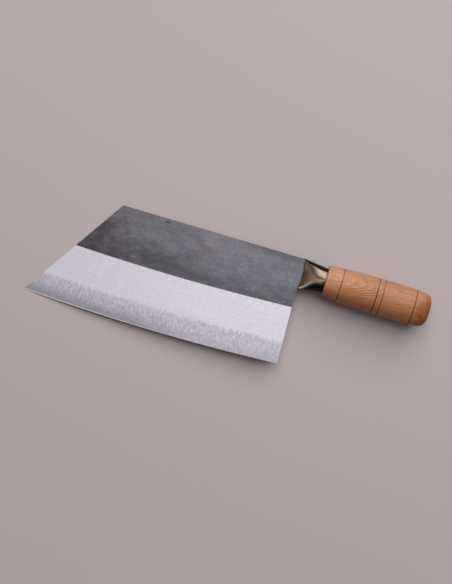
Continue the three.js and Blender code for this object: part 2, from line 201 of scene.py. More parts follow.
class BolsterSettings(bpy.types.PropertyGroup):
    """Sizes and colours of the bolster and of the tang inside it"""

    length: length("Length", 22, "From the blade's rear corner to the handle")
    wall: length("Wall", 0.8, "Thickness of the sleeve")
    radius: length("Radius", 10.2, "Radius of its round end")
    seat: length("Seat", 3, "How deep the round end sits in the handle")
    mouth_half_height: length("Mouth half height", 12.9, "Half the height of its flat end")
    mouth_drop: length("Mouth drop", 0.2, "How far the flat end's middle lies below the axis")
    mouth_half_depth: length("Mouth half depth", 2.25, "Half the thickness of the flat end's middle")
    lip_half_depth: length("Lip half depth", 3.3, "Half the thickness of the flat end's lips")
    neck_start: share("Neck start", 0.8, "Where along its length the sleeve becomes round")
    dent: length("Dent", 1.0, "How much deeper the faces are dented between the mouth and the neck")
    dent_flat: share("Dent flat", 0.7, "Share of the dent that is flat, at the mouth")
    crest_start: share("Crest start", 0.95, "Where between middle and tip a lip is highest, at the mouth")
    crest_end: share("Crest end", 0.14, "The same at the neck")
    flank_square: share("Flank squareness", 3.0, "Exponent of the flanks' outline, where 2 is an ellipse")
    clearance: length("Clearance", 0.3, "Gap between the mouth and the blade")
    neck_height: length("Neck height", 19, "Height of the blade's neck inside the mouth")
    neck_thickness: length("Neck thickness", 2.1, "Thickness of that neck")
    neck_length: length("Neck length", 6, "Length of its straight part")
    tang_height: length("Tang height", 6, "Height of the tang where it enters the handle")
    tang_end_height: length("Tang end height", 4.5, "Height of the tang at the washer")
    tang_thickness: length("Tang thickness", 3.5, "Thickness of the tang")
    bronze: colour("Bronze", linear(149, 124, 101), "Polished bronze on the faces")
    # Painted shade: darker bronze for the hollow of the faces by the mouth
    bronze_shade: colour("Dull bronze", linear(98, 80, 65), "Bronze in the hollow of the faces")
    # A painted reflection: greyer bronze above the mouth
    bronze_reflection: colour("Dusty bronze", linear(170, 149, 136), "Greyed bronze by the upper mouth")
    # Painted highlight, with some wear on the lower lip: lighter bronze towards the neck and along the
    # lower lip
    bronze_wear_and_highlight: colour("Rubbed bronze", linear(218, 200, 184), "The lower lip, rubbed bright")
    # Dark patination on the flanks, also used for painted shade under the lower lip and by the handle, and
    # for a painted shadow along the mouth
    patina: colour("Patina", linear(34, 24, 21), "Dark patina on the flanks and at the mouth")

    CREST_LEAVES, CREST_ARRIVES = 0.13, 0.88  # where a lip's crest moves in, as shares up to the neck

    def middle_y(self, along):
        return -self.mouth_drop * (1 - along)

    def mouth_bottom(self, blade):
        """Where the mouth's lower tip lies under the blade's spine."""
        return self.middle_y(0) - self.mouth_half_height - blade.spine_above_axis

    def half_height(self, along):
        return lerp(self.mouth_half_height, self.radius, along)

    def half_depth(self, along, off):
        """Half thickness of the sleeve at a distance off its middle line, a dented tube's section."""
        drawn = min(along / self.neck_start, 1)
        high = self.half_height(along)
        lip = lerp(self.lip_half_depth, self.radius, math.sin(math.pi / 2 * drawn))
        mouth_dent = self.lip_half_depth - self.mouth_half_depth
        dent = lerp(mouth_dent, 0, along) + self.dent * math.sin(math.pi * along)
        dented = 1 - smooth((along - self.neck_start) / (1 - self.neck_start))
        moved = smooth((drawn - self.CREST_LEAVES) / (self.CREST_ARRIVES - self.CREST_LEAVES))
        crest = high * dented * lerp(self.crest_start, self.crest_end, moved)
        if off < crest:
            flat = self.dent_flat * (1 - drawn)
            return lip - dent * (1 - smooth((off / crest - flat) / (1 - flat)))
        exponent = lerp(2, self.flank_square, math.sin(math.pi * drawn))
        return lip * max(0, 1 - ((off - crest) / (high - crest)) ** exponent) ** (1 / exponent)


class HandleSettings(bpy.types.PropertyGroup):
    """Sizes and colours of the handle and of the washer and hammered tang in its butt"""

    front: length("Front", 22, "Where the handle starts along the axis")
    front_length: length("Front length", 13, "From the front to the first groove")
    forward_length: length("Forward length", 30.5, "From the first groove to the second")
    waist_length: length("Waist length", 5, "From the second groove to the third")
    rear_length: length("Rear length", 27.5, "From the third groove to the fourth")
    butt_length: length("Butt length", 14, "From the fourth groove to the end")
    front_radius: length("Front radius", 13.1, "Radius at the front")
    shoulder_radius: length("Shoulder radius", 14.8, "Radius at the shoulder")
    shoulder_place: length("Shoulder place", 21, "From the front to the shoulder")
    belly_radius: length("Belly radius", 15.3, "Radius at the belly")
    belly_place: length("Belly place", 28, "From the butt to the belly")
    butt_radius: length("Butt radius", 14, "Radius that the barrel runs to at the butt")
    front_round: length("Front rounding", 0.8, "Radius of the front rim")
    butt_round: length("Butt rounding", 7, "Radius of the butt's rim")
    socket_radius: length("Socket radius", 10.5, "Radius of the socket for the bolster")
    socket_depth: length("Socket depth", 3.3, "Depth of that socket")
    bore_radius: length("Bore radius", 4.87, "Radius of the bore for the tang")
    recess_radius: length("Recess radius", 6.67, "Radius of the recess in the butt")
    recess_depth: length("Recess depth", 4, "Depth of that recess")
    groove_width: length("Groove width", 0.9, "Width of the burnt grooves")
    groove_depth: length("Groove depth", 0.6, "Depth of the burnt grooves")
    washer_radius: length("Washer radius", 6.37, "Outer radius of the washer")
    washer_hole: length("Washer hole", 3.15, "Radius of the washer's hole")
    washer_front: length("Washer front", 108.3, "Where the washer starts along the axis")
    washer_thickness: length("Washer thickness", 1.2, "Thickness of the washer")
    peen_seat: length("Peen seat", 109.8, "Where the hammered end starts along the axis")
    peen_height: length("Peen height", 1.6, "Height of the hammered end")
    peen_radius: length("Peen radius", 4.25, "Radius of the hammered end")
    wood_light: colour("Light wood", linear(198, 136, 97), "Early wood between the rings")
    # A painted sheen: paler wood along the spine's side
    wood_sheen: colour("Pale wood", linear(188, 145, 115), "Sapwood along the spine's side")
    wood_dark: colour("Dark wood", linear(161, 101, 68), "Late wood of the rings")
    # Pores, also used for painted shade on the butt's rim and for the darker front rim
    wood_pore_and_shade: colour("Pores", linear(128, 76, 48), "Short pores along the grain")
    wood_burnt: colour("Burnt wood", linear(78, 44, 28), "The burnt grooves")
    # The darker wood of the butt, also used as warm painted shade low by the front
    wood_butt_and_shade: colour("Butt wood", linear(138, 78, 42), "Oiled wood of the butt")
    washer_steel: colour("Washer steel", (0.42, 0.41, 0.40), "The plain steel of the washer")
    washer_stain: colour("Washer stain", linear(96, 80, 66), "Brown in the washer's turning marks")
    resin: colour("Resin", linear(138, 106, 60), "The bedding around the tang")
    pitch: colour("Pitch", linear(42, 33, 27), "The filling of the bolster")

    HALVINGS = 30  # steps of the search for a place on the barrel's curve

    def grooves(self):
        steps = (self.front_length, self.forward_length, self.waist_length, self.rear_length)
        return [self.front + sum(steps[: i + 1]) for i in range(len(steps))]

    def end(self):
        return self.grooves()[-1] + self.butt_length

    def barrel(self, t):
        """A point of the barrel's smooth curve as (place, radius), with t from 0 to 1."""
        points = [
            Vector((self.front, self.front_radius)),
            Vector((self.front + self.shoulder_place, self.shoulder_radius)),
            Vector((self.end() - self.belly_place, self.belly_radius)),
            Vector((self.end(), self.butt_radius)),
        ]
        spans = len(points) - 1
        span = min(int(t * spans), spans - 1)
        w = t * spans - span
        p0, p1, p2, p3 = (points[min(max(span + i, 0), spans)] for i in (-1, 0, 1, 2))
        v1, v2 = (p2 - p0) / 2, (p3 - p1) / 2
        return (2 * p1 - 2 * p2 + v1 + v2) * w**3 + (3 * p2 - 3 * p1 - 2 * v1 - v2) * w**2 + v1 * w + p1

    def radius_at(self, x):
        low, high = 0.0, 1.0
        for _ in range(self.HALVINGS):
            middle = (low + high) / 2
            low, high = (middle, high) if self.barrel(middle).x < x else (low, middle)
        return self.barrel(low).y


class StageSettings(bpy.types.PropertyGroup):
    """The floor, the light and the camera"""

    floor: colour("Floor", linear(187, 175, 175), "The plain pale floor")
    surround: colour("Surround", linear(180, 172, 173), "The studio around it")
    surround_strength: share("Surround strength", 0.27, "Light of that studio")
    softbox_power: power("Softbox power", 1.2, "Light of the softbox overhead")
    softbox_size: length("Softbox size", 1400, "Side of the softbox")
    softbox_place: spot("Softbox place", (0.1, -0.05, 1.6), "Where it hangs, facing straight down")
    key_power: power("Key power", 70, "Light from the spine's side")
    key_size: length("Key size", 2600, "Side of the key lamp")
    key_place: spot("Key place", (0.26, 1.45, 1.88), "Where it hangs, facing the knife")
    distance: length("Distance", 1400, "From the camera to the blade")
    lens: FloatProperty(name="Lens", description="Focal length", default=103.5, unit="CAMERA")
    tilt: angle("Tilt", 16.8, "How far the handle's axis slopes down to the right in the picture")


def knife_axes():
    """The knife's own axes in the row frame: X to the butt, Y to the spine, Z out of the left side."""
    handle = frame["nodes"]["handle"]
    decimals = 7  # of a metre, which makes one point of corners that meet
    points = np.unique(np.round([v.co for v in handle.data.vertices], decimals), axis=0)
    middle = points.mean(axis=0)
    along = Vector(np.linalg.eigh(np.cov((points - middle).T))[1][:, -1])
    flats = {m["name"]: Vector(m["axis"]) for m in frame["record"]["mounts"]}
    out = (flats["blade_flat_left"] - flats["blade_flat_right"]).normalized()
    blade_low, blade_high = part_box("blade")
    if along.dot(Vector(middle) - (blade_low + blade_high) / 2) < 0:
        along.negate()
    up = out.cross(along).normalized()
    out = along.cross(up)
    front = min((Vector(p - middle)).dot(along) for p in points)
    origin = Vector(middle) + along * (front - bpy.context.scene.knife_handle.front)
    turned = Matrix((along, up, out)).transposed().to_4x4()
    return Matrix.Translation(origin) @ turned


def blade_axes():
    """The blade's axes in the row frame, from the spine's rear corner: X along the spine, Y across."""
    blade = bpy.context.scene.knife_blade
    lift = Matrix.Translation((0, blade.spine_above_axis, 0))
    return knife_axes() @ lift @ Matrix.Rotation(blade.droop, 4, "Z")


class Finish:
    """A material that is painted in millimetres, along the axes of the piece that it is for."""

    NOISE_STEP = (17.3, 5.1, 9.7)  # how far each noise is moved on, so that no two look alike
    NOISE_BULK = (0.3, 0.7)  # between these lie most of a noise's values
    STAIN_EDGE = (1.7, -0.3)  # where a stain ends and where it is full
    MIX_INPUTS, MIX_OUTPUT = (0, 6, 7), 2  # a Mix node's sockets for factor and colours

    def __init__(self, name, axes):
        self.material = bpy.data.materials.new(name)
        self.material.use_nodes = True
        self.nodes = self.material.node_tree.nodes
        self.shader = self.nodes["Principled BSDF"]
        mapping = self.add("ShaderNodeMapping", vector_type="TEXTURE")
        mapping.inputs["Location"].default_value = axes.translation
        mapping.inputs["Rotation"].default_value = axes.to_euler()
        mapping.inputs["Scale"].default_value = (MM, MM, MM)
        self.wire(self.add("ShaderNodeTexCoord").outputs["Object"], mapping.inputs["Vector"])
        self.spot = mapping.outputs["Vector"]
        parts = self.add("ShaderNodeSeparateXYZ")
        self.wire(self.spot, parts.inputs[0])
        self.x, self.y, self.z = parts.outputs
        self.draws = 0

    def add(self, kind, **settings):
        node = self.nodes.new(kind)
        for name, value in settings.items():
            setattr(node, name, value)
        return node

    def wire(self, value, socket):
        """Links a node's output to a socket, or sets the socket to a plain value."""
        if isinstance(value, bpy.types.NodeSocket):
            self.material.node_tree.links.new(value, socket)
        else:
            socket.default_value = value

    def math(self, operation, *values):
        node = self.add("ShaderNodeMath", operation=operation)
        for value, socket in zip(values, node.inputs):
            self.wire(value, socket)
        return node.outputs[0]

    def sum(self, *values):
        total = values[0]
        for value in values[1:]:
            total = self.math("ADD", total, value)
        return total

    def times(self, a, b):
        return self.math("MULTIPLY", a, b)

    def scaled(self, value, factor, offset=0.0):
        return self.math("MULTIPLY_ADD", value, factor, offset)

    def swing(self, noise, reach):
        """A noise from 0 to 1 turned into one from -reach to reach."""
        return self.scaled(noise, 2 * reach, -reach)

    def either(self, mask, inside, outside):
        """One value where a mask is 1, and the other where it is 0."""
        rest = self.math("SUBTRACT", 1.0, mask)
        return self.sum(self.times(mask, inside), self.times(rest, outside))

    def ramp(self, value, low, high, to_low=0.0, to_high=1.0):
        """A soft step of value, from to_low at low to to_high at high."""
        node = self.add("ShaderNodeMapRange", interpolation_type="SMOOTHSTEP")
        for item, socket in zip((value, low, high, to_low, to_high), node.inputs):
            self.wire(item, socket)
        return node.outputs[0]

    def spread(self, noise, to_low, to_high):
        """A noise spread over the range from to_low to to_high."""
        return self.ramp(noise, *self.NOISE_BULK, to_low, to_high)

    def noise(self, stretch, detail=3.0, roughness=0.55, warp=0.0):
        """Cloudy noise from 0 to 1, with so many cells per millimetre along each axis."""
        self.draws += 1
        place = self.add("ShaderNodeVectorMath", operation="MULTIPLY_ADD")
        self.wire(self.spot, place.inputs[0])
        place.inputs[1].default_value = stretch
        place.inputs[2].default_value = [step * self.draws for step in self.NOISE_STEP]
        node = self.add("ShaderNodeTexNoise")
        self.wire(place.outputs[0], node.inputs["Vector"])
        values = {"Scale": 1.0, "Detail": detail, "Roughness": roughness, "Distortion": warp}
        for name, value in values.items():
            node.inputs[name].default_value = value
        return node.outputs[0]

    def stain(self, x, y, half_length, half_height, ragged):
        """A mark of 1 at a place on the left side, which lies up, with an edge that ragged makes uneven."""
        along = self.math("DIVIDE", self.math("SUBTRACT", self.x, x), half_length)
        across = self.math("DIVIDE", self.math("SUBTRACT", self.y, y), half_height)
        off = self.sum(self.times(along, along), self.times(across, across), ragged)
        return self.times(self.ramp(off, *self.STAIN_EDGE), self.ramp(self.z, 0.0, 0.2))

    def mix(self, factor, a, b, blend="MIX"):
        """Colour a turning into colour b."""
        node = self.add("ShaderNodeMix", data_type="RGBA", blend_type=blend)
        for value, place in zip((factor, a, b), self.MIX_INPUTS):
            plain = not isinstance(value, (bpy.types.NodeSocket, float, int))
            self.wire((*value, 1.0) if plain else value, node.inputs[place])
        return node.outputs[self.MIX_OUTPUT]

    def shade(self, tone, value):
        """A colour made lighter or darker by a factor around 1."""
        grey = self.add("ShaderNodeCombineColor")
        for socket in grey.inputs:
            self.wire(value, socket)
        return self.mix(1.0, tone, grey.outputs[0], "MULTIPLY")

    def mottle(self, tone, noise, darkest, lightest):
        """A colour that a noise makes darker and lighter."""
        return self.shade(tone, self.spread(noise, darkest, lightest))

    def bump(self, height, millimetres):
        node = self.add("ShaderNodeBump")
        node.inputs["Distance"].default_value = millimetres * MM
        self.wire(height, node.inputs["Height"])
        self.wire(node.outputs[0], self.shader.inputs["Normal"])

    def paint(self, base, roughness, metallic=0.0, specular=0.5):
        """Sets what the finished surface is, and hands over the material."""
        self.shader.inputs["Specular IOR Level"].default_value = specular
        for name, value in (("Base Color", base), ("Roughness", roughness), ("Metallic", metallic)):
            self.wire(value, self.shader.inputs[name])
        return self.material


def forge_scale(f, blade, heelward, over_grind):
    """The scale's colour, roughness and relief, and the grain that the ground steel shares with it."""
    clouds = f.noise((0.028, 0.05, 0.05), 3.0, 0.55, 0.6)
    patches = f.noise((0.1, 0.16, 0.16), 4.0, 0.6, 0.4)
    blooms = f.noise((0.055, 0.085, 0.085), 3.0, 0.55, 0.5)
    streaks = f.noise((0.07, 0.5, 0.5), 4.0, 0.65)
    grain = f.noise((0.5, 0.65, 0.65), 4.0, 0.65)

    # Dark at the tip and greyer towards the heel, with violet, blue and rusty clouds
    greyer = f.ramp(f.sum(f.x, f.swing(clouds, 30.0)), -195.0, -70.0)
    tone = f.mix(greyer, blade.scale_tip, blade.scale_heel)
    violet = f.times(f.ramp(patches, 0.46, 0.64, 0.0, 0.6), f.scaled(heelward, 0.7, 0.3))
    tone = f.mix(violet, tone, blade.scale_violet)
    blue = f.times(f.ramp(blooms, 0.56, 0.4), heelward)
    tone = f.mix(f.scaled(blue, 0.6), tone, blade.scale_blue)
    tone = f.mix(f.ramp(blooms, 0.6, 0.74, 0.0, 0.16), tone, blade.scale_rust)
    for noise, contrast in ((clouds, 0.1), (patches, 0.12), (streaks, 0.06), (grain, 0.14)):
        tone = f.mottle(tone, noise, 1.0 - contrast, 1.0 + contrast)

    # Darker just above the bevel, and under the spine towards the heel
    low = f.sum(over_grind, f.swing(clouds, 8.0), f.swing(patches, 8.0))
    low_reach = f.ramp(heelward, 0.05, 0.6, 34.0, 25.0)
    tone = f.shade(tone, f.ramp(low, 0.0, low_reach, 0.62, 1.0))
    spine_shade = f.ramp(f.sum(f.x, f.swing(clouds, 15.0)), -60.0, -25.0, 0.9, 0.58)
    spine_reach = f.sum(f.y, f.swing(patches, 4.0))
    tone = f.shade(tone, f.ramp(spine_reach, -9.0, -1.0, 1.0, spine_shade))

    # Single stains, dark pits and a dark chip, and small bright chips, more of them towards the heel
    ragged = f.swing(f.noise((0.25, 0.32, 0.32), 3.0, 0.6, 0.5), 3.0)
    for tint, strength, place in STAINS:
        tone = f.mix(f.scaled(f.stain(*place, ragged), strength), tone, getattr(blade, tint))
    chip = f.stain(*SPINE_CHIP, ragged)
    pits = f.noise((0.42, 0.42, 0.42), 2.0, 0.5)
    dark = f.math("MAXIMUM", chip, f.ramp(f.sum(pits, f.scaled(heelward, 0.03)), 0.74, 0.78, 0.0, 0.6))
    tone = f.shade(tone, f.scaled(dark, -0.72, 1.0))
    near_heel = f.ramp(f.x, -45.0, -4.0, 0.8, 1.0)
    chips = f.times(f.noise((0.6, 0.6, 0.6), 2.0, 0.6), near_heel)
    tone = f.mix(f.ramp(chips, 0.66, 0.71, 0.0, 0.6), tone, blade.scale_chip)

    relief = f.sum(patches, f.scaled(grain, 0.25), f.scaled(dark, -0.8))
    return tone, f.spread(patches, 0.44, 0.58), relief, grain


def ground_steel(f, blade, heelward, bow, grain):
    """The colour, roughness and relief of the bevel and of the band along the edge."""
    brush = f.noise((0.012, 1.1, 1.1), 4.0, 0.7)
    flecks = f.noise((0.5, 0.9, 0.9), 3.0, 0.7)
    comb = f.noise((0.8, 0.06, 0.05), 4.0, 0.75)
    scratches = f.noise((1.2, 0.35, 0.35), 4.0, 0.75)
    wander = f.noise((0.04, 0.0, 0.0), 2.0)
    above_edge = f.sum(f.y, blade.height / MM, f.scaled(bow, blade.belly / MM))
    top = blade.band_height / MM
    bevel = f.shade(blade.bevel_steel, f.ramp(brush, 0.25, 0.75, 0.94, 1.05))
    bevel = f.mottle(bevel, flecks, 0.95, 1.045)

    # The band is darker at the edge, most of all near the tip, and ends above in a ragged comb
    edge_shade = f.ramp(heelward, 0.4, 0.85, 0.58, 0.92)
    band = f.shade(blade.band_steel, f.ramp(above_edge, -3.0, top - 3.0, edge_shade, 1.0))
    depth = f.ramp(above_edge, 2.0, top, 0.18, 0.3)
    marks = f.times(f.ramp(scratches, 0.32, 0.68, -1.0, 1.0), depth)
    band = f.shade(band, f.sum(1.0, marks))
    reach = f.sum(above_edge, f.swing(comb, 4.0), f.swing(wander, 2.0))
    in_band = f.ramp(reach, top + 2.4, top - 2.4)

    # Painted light: the ground steel is painted up to 17 % lighter towards the heel
    steel = f.shade(f.mix(in_band, bevel, band), f.scaled(heelward, 0.17, 1.0))
    steel = f.mottle(steel, grain, 0.96, 1.04)
    # A painted glint along the narrow bevel at the edge, fading out towards the heel
    keen = f.times(f.ramp(above_edge, 1.0, 0.7), f.scaled(heelward, -0.45, 0.65))
    steel = f.mix(keen, steel, blade.keen_glint_steel)
    rough = f.sum(f.spread(brush, 0.54, 0.60), f.scaled(in_band, 0.05))
    relief = f.sum(f.scaled(brush, 0.12), f.times(in_band, f.scaled(scratches, 0.25)))
    return steel, rough, relief


def blade_finish(blade):
    """Forge scale on the flats, a bright bevel brushed lengthwise, and a scratched band at the edge."""
    f = Finish("forged_blade", blade_axes())
    middle, half = blade.middle_x() / MM, blade.edge_length / 2 / MM
    off = f.math("DIVIDE", f.math("SUBTRACT", f.x, middle), half)
    bow = f.math("SUBTRACT", 1.0, f.times(off, off))
    heelward = f.ramp(f.x, blade.tip_x() / MM, -10.0)  # 0 at the tip, and 1 by the heel
    over_grind = f.sum(f.y, blade.grind_drop / MM, f.scaled(bow, blade.grind_sag / MM))
    scale, scale_rough, scale_relief, grain = forge_scale(f, blade, heelward, over_grind)
    steel, steel_rough, steel_relief = ground_steel(f, blade, heelward, bow, grain)
    jagged = f.swing(f.noise((0.6, 0.1, 0.1), 3.0, 0.7), 0.45)
    ground = f.ramp(f.sum(over_grind, jagged), 0.15, -0.15)
    f.bump(f.either(ground, steel_relief, scale_relief), 0.06)
    rough = f.either(ground, steel_rough, scale_rough)
    return f.paint(f.mix(ground, scale, steel), rough, metallic=f.scaled(ground, 0.3), specular=0.25)


def bronze_finish(bolster, blade):
    """Polished bronze faces with painted shade in the hollow and painted highlights, patinated dark flanks
    with painted shade under the lower lip, and a painted shadow along the mouth.
    """
    f = Finish("patinated_bronze", knife_axes())
    reach, drop = bolster.length / MM, bolster.mouth_drop / MM
    mouth, radius = bolster.mouth_half_height / MM, bolster.radius / MM
    along = f.math("DIVIDE", f.x, reach)
    level = f.sum(f.y, f.scaled(along, -drop, drop))
    high = f.scaled(along, radius - mouth, mouth)
    neck = reach * bolster.neck_start
    leaves, arrives = bolster.CREST_LEAVES * neck, bolster.CREST_ARRIVES * neck
    crest = f.times(high, f.ramp(f.x, leaves, arrives, bolster.crest_start, bolster.crest_end))
    cloud = f.noise((0.18, 0.25, 0.25), 3.0, 0.6)
    rub = f.noise((0.25, 2.2, 2.2), 3.0, 0.65)

    # The flanks: patinated dark above a line that curves down from the mouth to the neck, and patinated
    # with painted shade under the lower lip
    waist = f.times(along, f.math("SUBTRACT", 1.0, along))
    ridge = f.sum(f.scaled(along, -5.6, mouth - 0.4), f.scaled(waist, -6.0))
    uneven = f.swing(cloud, 0.4)
    upper = f.ramp(f.sum(level, f.scaled(ridge, -1.0), uneven), -0.4, 0.5)
    lower = f.ramp(f.sum(level, crest, uneven), -1.0, -3.9)
    flank = f.math("MAXIMUM", upper, lower)

    # The faces: painted shade in the hollow by the mouth, a painted reflection above it, painted highlights
    # towards the neck and on the lower lip, where there is some wear too, and painted shade below by the
    # handle
    lit_share = f.ramp(f.sum(along, f.swing(cloud, 0.25)), 0.1, 0.6)
    face = f.mix(lit_share, bolster.bronze_shade, bolster.bronze)
    # A painted reflection, greyer above the mouth
    grey_reflection = f.times(f.ramp(level, 1.0, 8.0), f.ramp(along, 0.55, 0.2, 0.0, 0.55))
    face = f.mix(grey_reflection, face, bolster.bronze_reflection)
    # A painted highlight on the faces towards the neck
    neck_highlight = f.times(f.ramp(level, -0.5, 3.0), f.ramp(along, 0.3, 0.75, 0.0, 0.36))
    face = f.mix(neck_highlight, face, bolster.bronze_wear_and_highlight)
    face = f.mottle(face, rub, 0.92, 1.06)
    off_lip = f.math("ABSOLUTE", f.sum(level, crest))
    # A painted highlight along the lower lip, with some wear
    lip = f.times(f.ramp(off_lip, 1.3, 0.3, 0.0, 0.85), f.ramp(along, 0.7, 0.35))
    tone = f.mix(lip, f.mix(flank, face, bolster.patina), bolster.bronze_wear_and_highlight)
    # Painted shade low on the neck by the handle
    painted_shade_low = f.times(f.ramp(level, 0.5, -3.0), f.ramp(along, 0.65, 1.0, 0.0, 0.75))
    tone = f.mix(painted_shade_low, tone, bolster.patina)

    # A painted shadow in the joint with the blade, dark along the mouth
    plan = f.sum(f.y, -blade.spine_above_axis / MM)
    across = f.scaled(plan, 2.0 * MM / bolster.mouth_bottom(blade), -1.0)
    bulge = f.scaled(f.times(across, across), -blade.shoulder / MM, blade.shoulder / MM)
    blade_end = f.sum(f.scaled(plan, -blade.heel_lean / blade.height - math.sin(blade.droop)), bulge)
    joint = f.ramp(f.sum(f.x, f.scaled(blade_end, -1.0)), 1.3, 0.5, 0.0, 0.9)
    tone = f.mix(joint, tone, bolster.patina)
    f.bump(f.sum(f.scaled(rub, 0.15), f.scaled(cloud, 0.6)), 0.03)
    rough = f.ramp(f.sum(f.scaled(flank, 0.6), f.scaled(cloud, 0.4)), 0.1, 1.0, 0.53, 0.6)
    return f.paint(tone, rough, metallic=f.scaled(flank, 0.3, 0.45), specular=0.2)


def wood_finish(handle):
    """Reddish hardwood with faint rings, fine pores along the grain, burnt grooves and a darker butt, with
    a painted sheen along the spine's side and painted shade below.
    """
    f = Finish("turned_hardwood", knife_axes())
    front, end = handle.front / MM, handle.end() / MM
    last = handle.grooves()[-1] / MM

    # Rings about a heart that lies under the handle, with an eye by the front, fading towards the butt
    warp = f.noise((0.03, 0.07, 0.07), 3.0, 0.5)
    across = f.sum(f.y, 16.0)
    deep = f.sum(f.z, f.scaled(f.x, -0.12), 42.0)
    from_heart = f.math("SQRT", f.sum(f.times(across, across), f.times(deep, deep)))
    eye = f.stain(front + 6.0, 8.0, 6.0, 5.0, 0.0)
    phase = f.math("FRACT", f.scaled(f.sum(from_heart, f.scaled(warp, 1.6), f.scaled(eye, 1.7)), 1.5))
    late = f.times(f.ramp(phase, 0.2, 0.85), f.ramp(phase, 1.0, 0.88))
    rings = f.times(late, f.ramp(f.x, front + 60.0, front + 25.0, 0.2, 1.0))
    fibre = f.noise((0.03, 1.5, 1.5), 4.0, 0.65)
    pores = f.noise((0.1, 1.9, 1.9), 3.0, 0.65)
    blotch = f.noise((0.03, 0.09, 0.09), 3.0, 0.5)
    tone = f.mix(f.sum(rings, f.scaled(blotch, 0.9, -0.2)), handle.wood_light, handle.wood_dark)

    # A painted sheen along the spine's side, fibres, a lighter front, and pores
    sheen_share = f.ramp(f.x, front + 10.0, front + 60.0, 0.62, 0.42)
    sheen_low = f.ramp(f.x, front + 5.0, front + 30.0, -9.0, -2.0)
    tone = f.mix(f.ramp(f.y, sheen_low, 10.0, 0.0, sheen_share), tone, handle.wood_sheen)
    tone = f.shade(tone, f.ramp(fibre, 0.25, 0.75, 0.79, 1.17))
    tone = f.shade(tone, f.ramp(f.x, front + 6.0, front + 60.0, 1.26, 0.95))
    pore = f.ramp(pores, 0.54, 0.68, 0.0, 0.65)
    tone = f.mix(pore, tone, handle.wood_pore_and_shade)

    # Darker wood over the butt, starting later along the spine's side, and painted shade on its rim below
    smear = f.noise((0.14, 0.2, 0.2), 4.0, 0.6, 0.5)
    lean = f.sum(f.x, f.swing(smear, 15.0), f.ramp(f.y, 2.0, 11.0, 0.0, -7.0))
    butt = f.times(f.ramp(lean, last - 3.0, end - 3.0), f.ramp(f.x, last, last + 2.0, 0.3, 1.0))
    tone = f.mix(f.scaled(butt, 0.9), tone, handle.wood_butt_and_shade)
    # Painted shade on the butt's rim, away from the spine's side
    rim = f.times(f.ramp(f.x, end - 3.5, end - 0.5, 0.0, 0.6), f.ramp(f.y, 9.0, 3.0))
    tone = f.mix(rim, tone, handle.wood_pore_and_shade)

    # Painted shade along the edge's side, warmer by the front, a little darker along the spine's side, and
    # darker at the front rim
    deeper = f.ramp(f.x, front, front + 40.0, 0.8, 0.86)
    tone = f.shade(tone, f.ramp(f.y, -14.0, 2.0, deeper, 1.0))
    crown = f.ramp(f.x, front + 10.0, front + 60.0, 0.85, 0.96)
    tone = f.shade(tone, f.ramp(f.y, 4.0, 12.0, 1.0, crown))
    # Warm painted shade low by the front
    foot = f.ramp(f.x, front + 45.0, front + 5.0, 0.1, 0.35)
    tone = f.mix(f.ramp(f.y, -3.0, -13.0, 0.0, foot), tone, handle.wood_butt_and_shade)
    tone = f.mix(f.ramp(f.x, front + 0.9, front, 0.0, 0.5), tone, handle.wood_pore_and_shade)

    # The burnt grooves, painted fainter along the spine's side, where light falls into them, and darker in
    # shade on the edge's side
    burnt = 0.0
    for place, burn in zip(handle.grooves(), GROOVE_BURNS):
        away = f.math("ABSOLUTE", f.math("SUBTRACT", f.x, place / MM))
        mark = f.ramp(f.sum(away, f.swing(fibre, 0.08)), 0.55, 0.3, 0.0, burn)
        burnt = f.math("MAXIMUM", burnt, mark)
    tone = f.mix(f.times(burnt, f.ramp(f.y, 11.0, -2.0, 0.4, 0.95)), tone, handle.wood_burnt)
    f.bump(f.sum(f.scaled(fibre, 0.35), f.scaled(pore, -0.6)), 0.05)
    dry = f.sum(f.scaled(fibre, 0.5), f.scaled(pore, 0.5), f.scaled(butt, -0.35))
    return f.paint(tone, f.ramp(dry, 0.0, 0.8, 0.42, 0.6), specular=0.2)


def washer_finish(handle):
    """Plain steel with turning marks and a little brown in them."""
    f = Finish("washer_steel", knife_axes())
    marks = f.noise((0.3, 1.1, 1.1), 4.0, 0.7)
    stain = f.noise((0.2, 0.35, 0.35), 3.0, 0.6)
    tone = f.mottle(handle.washer_steel, marks, 0.8, 1.15)
    tone = f.mix(f.ramp(stain, 0.5, 0.7, 0.0, 0.6), tone, handle.washer_stain)
    f.bump(marks, 0.05)
    return f.paint(tone, f.spread(stain, 0.38, 0.55), metallic=1.0)


def filling_finish(name, tone, grain):
    """A dull filling with soft clouds in it."""
    f = Finish(name, knife_axes())
    cloud = f.noise((grain, grain, grain), 4.0, 0.6)
    f.bump(cloud, 0.1)
    return f.paint(f.mottle(tone, cloud, 0.75, 1.25), f.spread(cloud, 0.55, 0.75))


def begin(name, add, **options):
    """Adds a primitive with nothing else selected, and names it."""
    bpy.ops.object.select_all(action="DESELECT")
    add(**options)
    piece = bpy.context.active_object
    piece.name = piece.data.name = name
    return piece


def pick(piece, kind, wanted):
    """In edit mode, selects just the verts, edges or faces that wanted says yes to."""
    bpy.ops.mesh.select_mode(type={"verts": "VERT", "edges": "EDGE", "faces": "FACE"}[kind])
    bpy.ops.mesh.select_all(action="DESELECT")
    mesh = bmesh.from_edit_mesh(piece.data)
    found = 0
    for item in getattr(mesh, kind):
        if wanted(item):
            item.select_set(True)
            found += 1
    if not found:
        raise RuntimeError(f"{piece.name} has none of the {kind} that this step works on")
    mesh.select_flush_mode()
    bmesh.update_edit_mesh(piece.data)


